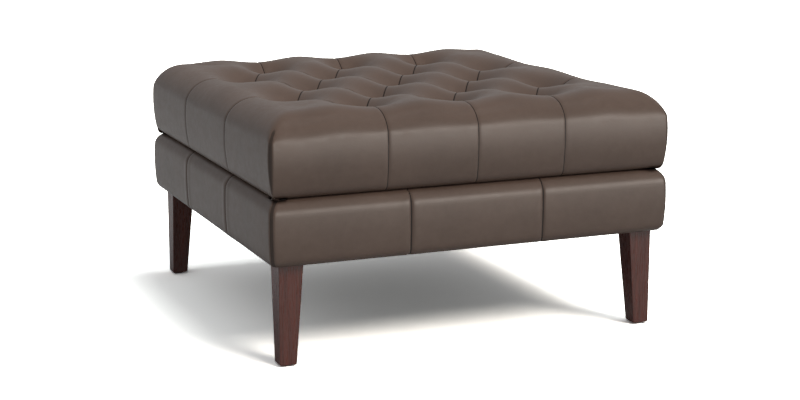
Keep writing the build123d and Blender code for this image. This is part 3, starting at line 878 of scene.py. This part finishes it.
# Lines beside a seam are gathered towards it on the edges and sides, so that the seam is narrow there
gather = smooth_share(out * 2) * seam_gather * np.exp(-((from_fold / seam_gather_width) ** 2))
from_fold = from_fold * (1 - gather)
seam_column = np.round(column / 2) * 2
seam_row = np.sign(row)
along_front = (y_out > 0) & (x_out == 0)
along_side = (x_out > 0) & (y_out == 0)
x = np.where(along_front, x + (seam_column * tuft_column_pitch - x) * gather, x)
y = np.where(along_side, y + (seam_row * tuft_row_pitch - y) * gather, y)
in_corner = (x_out > 0) & (y_out > 0)
crease = np.where(in_corner, 0, np.exp(-((from_fold / crease_width) ** 2)))
# Painted shade along the folds and seams, which darkens the leather's colour there
seam_shade_mark = np.where(in_corner, 0, np.exp(-((from_fold / seam_shade_width) ** 2)))
crease_now = crease_depth + (side_seam_depth - crease_depth) * smooth_share(out / 2)
depth = tufted + crease_now * crease

# The rim stands above the pillows. It falls a little towards its edge, and less at the corners
x_near, y_near = smooth_share(x_out), smooth_share(y_out)
fall = side_edge_fall * x_near + front_edge_fall * y_near - corner_lift * x_near * y_near
sink = pillow_sink * (1 - smooth_share(out))

# The rounded edge. At the corners its drops along X and Y don't add up, so the corners are full
x_drop, y_drop = 1 - np.cos(x_turn), 1 - np.cos(y_turn)
drop = (x_drop**corner_power + y_drop**corner_power) ** (1 / corner_power)
z = cushion_top - fall - sink - edge_rise * drop * (1 - corner_hold * x_drop * y_drop)

# How far each point is from the corner's diagonal, measured over the rounding
from_corner = np.abs(np.abs(x) - np.abs(y)) * eighth_turn

# The corner in plan: squares about the corner's centre become circles
centre = cushion_half - cushion_corner_radius
corner_x = (np.abs(x) - centre) / cushion_corner_radius
corner_y = (np.abs(y) - centre) / cushion_corner_radius
in_round = (corner_x > 0) & (corner_y > 0)
reach = np.maximum(corner_x, corner_y)
length = np.where(in_round, np.hypot(corner_x, corner_y), 1)
x = np.where(in_round, np.sign(x) * (centre + cushion_corner_radius * corner_x * reach / length), x)
y = np.where(in_round, np.sign(y) * (centre + cushion_corner_radius * corner_y * reach / length), y)

# The welt over the corner seam, from the rounded edge downwards: raised, and darkened with painted shade
corner_turn = np.minimum(x_turn, y_turn) / quarter_turn
corner_welt = corner_band(from_corner) * smooth_share((corner_turn - corner_seam_start) / corner_seam_fade)
depth = depth + corner_band_depth * corner_welt
seam_shade_mark = np.maximum(seam_shade_mark, corner_welt_shade * corner_welt)

# Depth is measured square to the surface
out_x, out_y = np.sign(x) * np.sin(x_turn), np.sign(y) * np.sin(y_turn)
out_z = np.cos(x_turn) * np.cos(y_turn)
size = np.sqrt(out_x**2 + out_y**2 + out_z**2)
x, y, z = x - depth * out_x / size, y - depth * out_y / size, z - depth * out_z / size

# Pillows are split into triangles along the nearer family of folds, and the rim and edges stay in squares
columns, rows = x.shape
top_points = np.stack([x, y, z], axis=-1).reshape(-1, 3)
top_seam_shades = seam_shade_mark.reshape(-1)
index = np.arange(columns * rows).reshape(columns, rows)
middle_column = (column[:-1, :-1] + column[1:, 1:]) / 2
middle_row = (row[:-1, :-1] + row[1:, 1:]) / 2
first_is_nearer = near_fold(middle_column + middle_row) > near_fold(middle_column - middle_row)
cushion_faces = []
for i in range(columns - 1):
    for j in range(rows - 1):
        a, b, c, d = index[i, j], index[i + 1, j], index[i + 1, j + 1], index[i, j + 1]
        if out[i, j] > 0 or out[i + 1, j + 1] > 0:
            cushion_faces.append((a, b, c, d))
        elif first_is_nearer[i, j]:
            cushion_faces += [(a, b, d), (b, c, d)]
        else:
            cushion_faces += [(a, b, c), (a, c, d)]

# Down the sides, round the bottom edge and in under the cushion
border = np.concatenate([index[:, 0], index[-1, 1:], index[-2::-1, -1], index[0, -2:0:-1]])
border_out = np.stack([out_x, out_y], axis=-1).reshape(-1, 2)[border]
flat_signs = np.where(np.abs(border_out) < least_side_turn, 0, np.sign(border_out))
corner_plan = np.stack([corner_x, corner_y], axis=-1).reshape(-1, 2)[border]
corner_reach = np.maximum(np.hypot(*corner_plan.T), least_length)
directions = np.where(
    in_round.reshape(-1)[border][:, None],
    np.sign(border_out) * np.abs(corner_plan) / corner_reach[:, None],
    flat_signs,
)
start = top_points[border]
all_points, all_seam_shades = [top_points], [top_seam_shades]
last_ring = border
side_floor = cushion_bottom + cushion_bottom_radius
levels = []
wall_draw = cushion_draw * (2 * cushion_widest_share - 1)
for share in np.linspace(0, 1, cushion_wall_steps + 1)[1:]:
    height = start[:, 2] + (side_floor - start[:, 2]) * share
    levels.append((height, cushion_draw * share * (2 * cushion_widest_share - share)))
for turn in np.linspace(0, quarter_turn, bottom_steps + 1)[1:]:
    height = np.full(len(border), side_floor - cushion_bottom_radius * math.sin(turn))
    outward = wall_draw - cushion_bottom_radius * (1 - math.cos(turn))
    levels.append((height, outward - lean_in(wall_low_slope, cushion_bottom_radius, turn)))
levels.append((np.full(len(border), cushion_bottom), -flange_width))
count = len(top_points)
for height, outward in levels:
    plan = start[:, :2] + directions * outward
    ring_points = np.column_stack([plan, height])
    ring_index = np.arange(count, count + len(border))
    for k in range(len(border)):
        n = (k + 1) % len(border)
        cushion_faces.append((last_ring[k], last_ring[n], ring_index[n], ring_index[k]))
    all_points.append(ring_points)
    all_seam_shades.append(top_seam_shades[border])
    last_ring = ring_index
    count += len(border)
cushion_faces.append(tuple(last_ring))

cushion = new_piece("tufted_cushion", np.concatenate(all_points), cushion_faces, leather)
set_seam_shade(cushion, np.concatenate(all_seam_shades))
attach(cushion, "root")
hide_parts("cushion_cover", "cushion_wadding", "cushion_foam")
